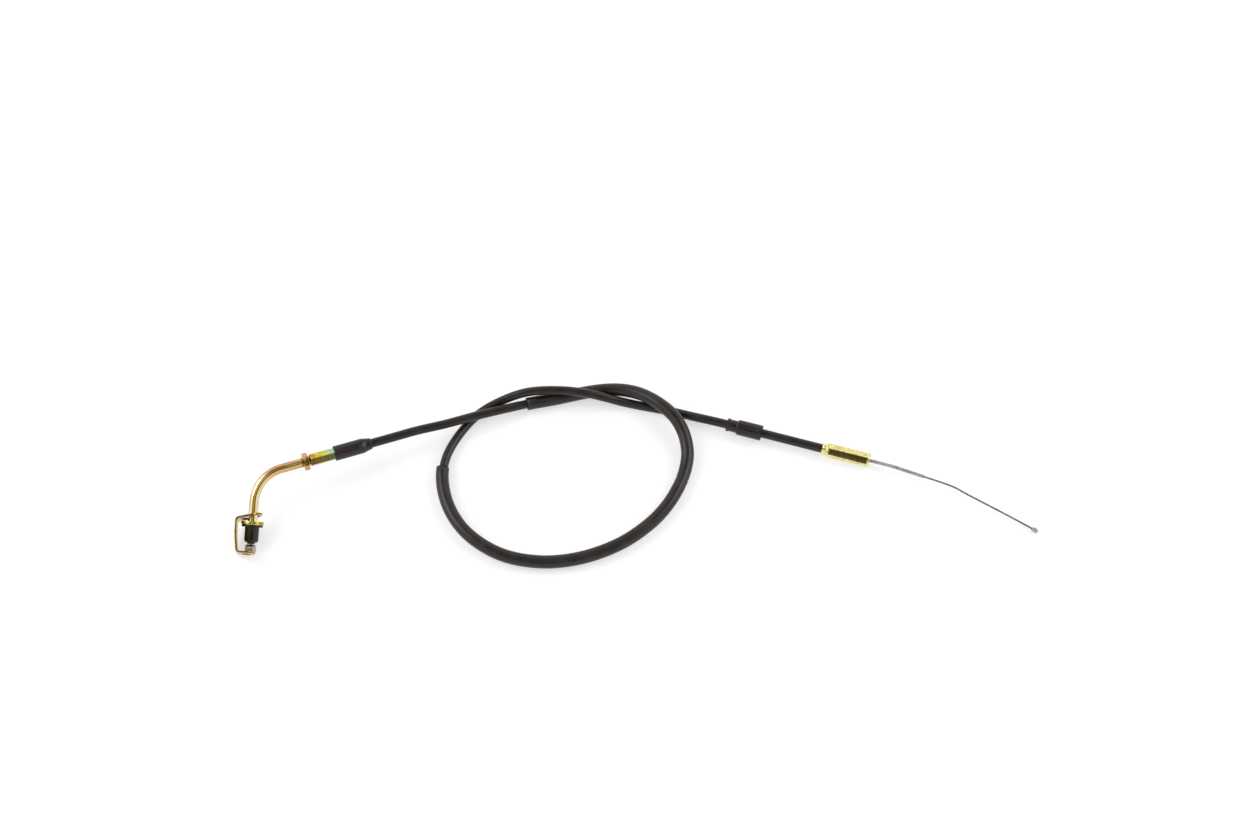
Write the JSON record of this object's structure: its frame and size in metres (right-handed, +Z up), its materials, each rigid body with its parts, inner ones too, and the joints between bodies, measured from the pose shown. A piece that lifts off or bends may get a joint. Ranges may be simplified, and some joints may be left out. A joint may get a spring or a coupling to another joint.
{
  "type": "throttle cable",
  "caption": "Throttle cable: bent guide tube with clamping bracket, in-line adjuster, sleeved black casing in one loop, hex ferrule, liner and bare wire end.",
  "frame": {"origin": "on the table below the middle of the cable's fittings", "axes": "+Z up from the table, +X from the twist-grip end to the carburettor end, -Y towards the picture's camera"},
  "size_m": [0.4833, 0.1243, 0.0248],
  "materials": {
    "yellow_zinc_plate": "iridescent yellow zinc plate",
    "black_nylon": "satin moulded",
    "black_rubber": "matte",
    "black_vinyl": "satin extruded",
    "spring_steel": "bare wound steel",
    "white_liner": "translucent white",
    "steel_wire": "stranded",
    "die_cast_zinc": "dull grey casting"
  },
  "bodies": {
    "casing": {"casing_jacket": "black_vinyl", "casing_winding": "spring_steel", "protective_sleeve": "black_vinyl", "inner_liner": "white_liner", "inner_wire": "steel_wire", "elbow_tube": "yellow_zinc_plate", "seat_flange": "yellow_zinc_plate", "nose_sleeve": "black_nylon", "hex_ferrule": "yellow_zinc_plate"},
    "grip_end": {"wire_grip_end": "steel_wire", "grip_nipple": "die_cast_zinc"},
    "tail_end": {"wire_tail": "steel_wire", "carburettor_nipple": "die_cast_zinc"},
    "bracket": {"tube_bracket": "yellow_zinc_plate"},
    "locknut": {"locknut": "yellow_zinc_plate"},
    "adjuster": {"cable_adjuster": "yellow_zinc_plate"},
    "adjuster_boot": {"adjuster_boot": "black_rubber"},
    "dust_boot": {"dust_boot": "black_rubber"}
  },
  "joints": [
    {"name": "grip_pull", "type": "slide", "parent": "casing", "child": "grip_end", "axis": [-0.0711, -0.9035, -0.4226], "range_m": [0, 0.015]},
    {"name": "tail_draw", "type": "slide", "parent": "casing", "child": "tail_end", "axis": [-0.9413, 0.3361, 0.0314], "range_m": [0, 0.015]},
    {"name": "bracket_swing", "type": "hinge", "parent": "casing", "child": "bracket", "pos_m": [-0.2288, 0.0004, 0.02233], "axis": [-0.0711, -0.9035, -0.4226], "continuous": true},
    {"name": "locknut_turn", "type": "hinge", "parent": "casing", "child": "locknut", "pos_m": [-0.2288, 0.0004, 0.02233], "axis": [0.9311, 0.3518, -0.0958], "range_deg": [-180, 180]},
    {"name": "adjuster_turn", "type": "hinge", "parent": "casing", "child": "adjuster", "pos_m": [-0.2288, 0.0004, 0.02233], "axis": [0.9311, 0.3518, -0.0958], "range_deg": [-180, 180]},
    {"name": "adjuster_boot_slide", "type": "slide", "parent": "casing", "child": "adjuster_boot", "axis": [0.9311, 0.3518, -0.0958], "range_m": [0, 0.025]},
    {"name": "dust_boot_slide", "type": "slide", "parent": "casing", "child": "dust_boot", "axis": [0.9626, -0.2706, -0.0113], "range_m": [0, 0.04]}
  ],
  "couplings": [
    {"joint": "tail_draw", "follows": "grip_pull", "ratio": 1}
  ]
}
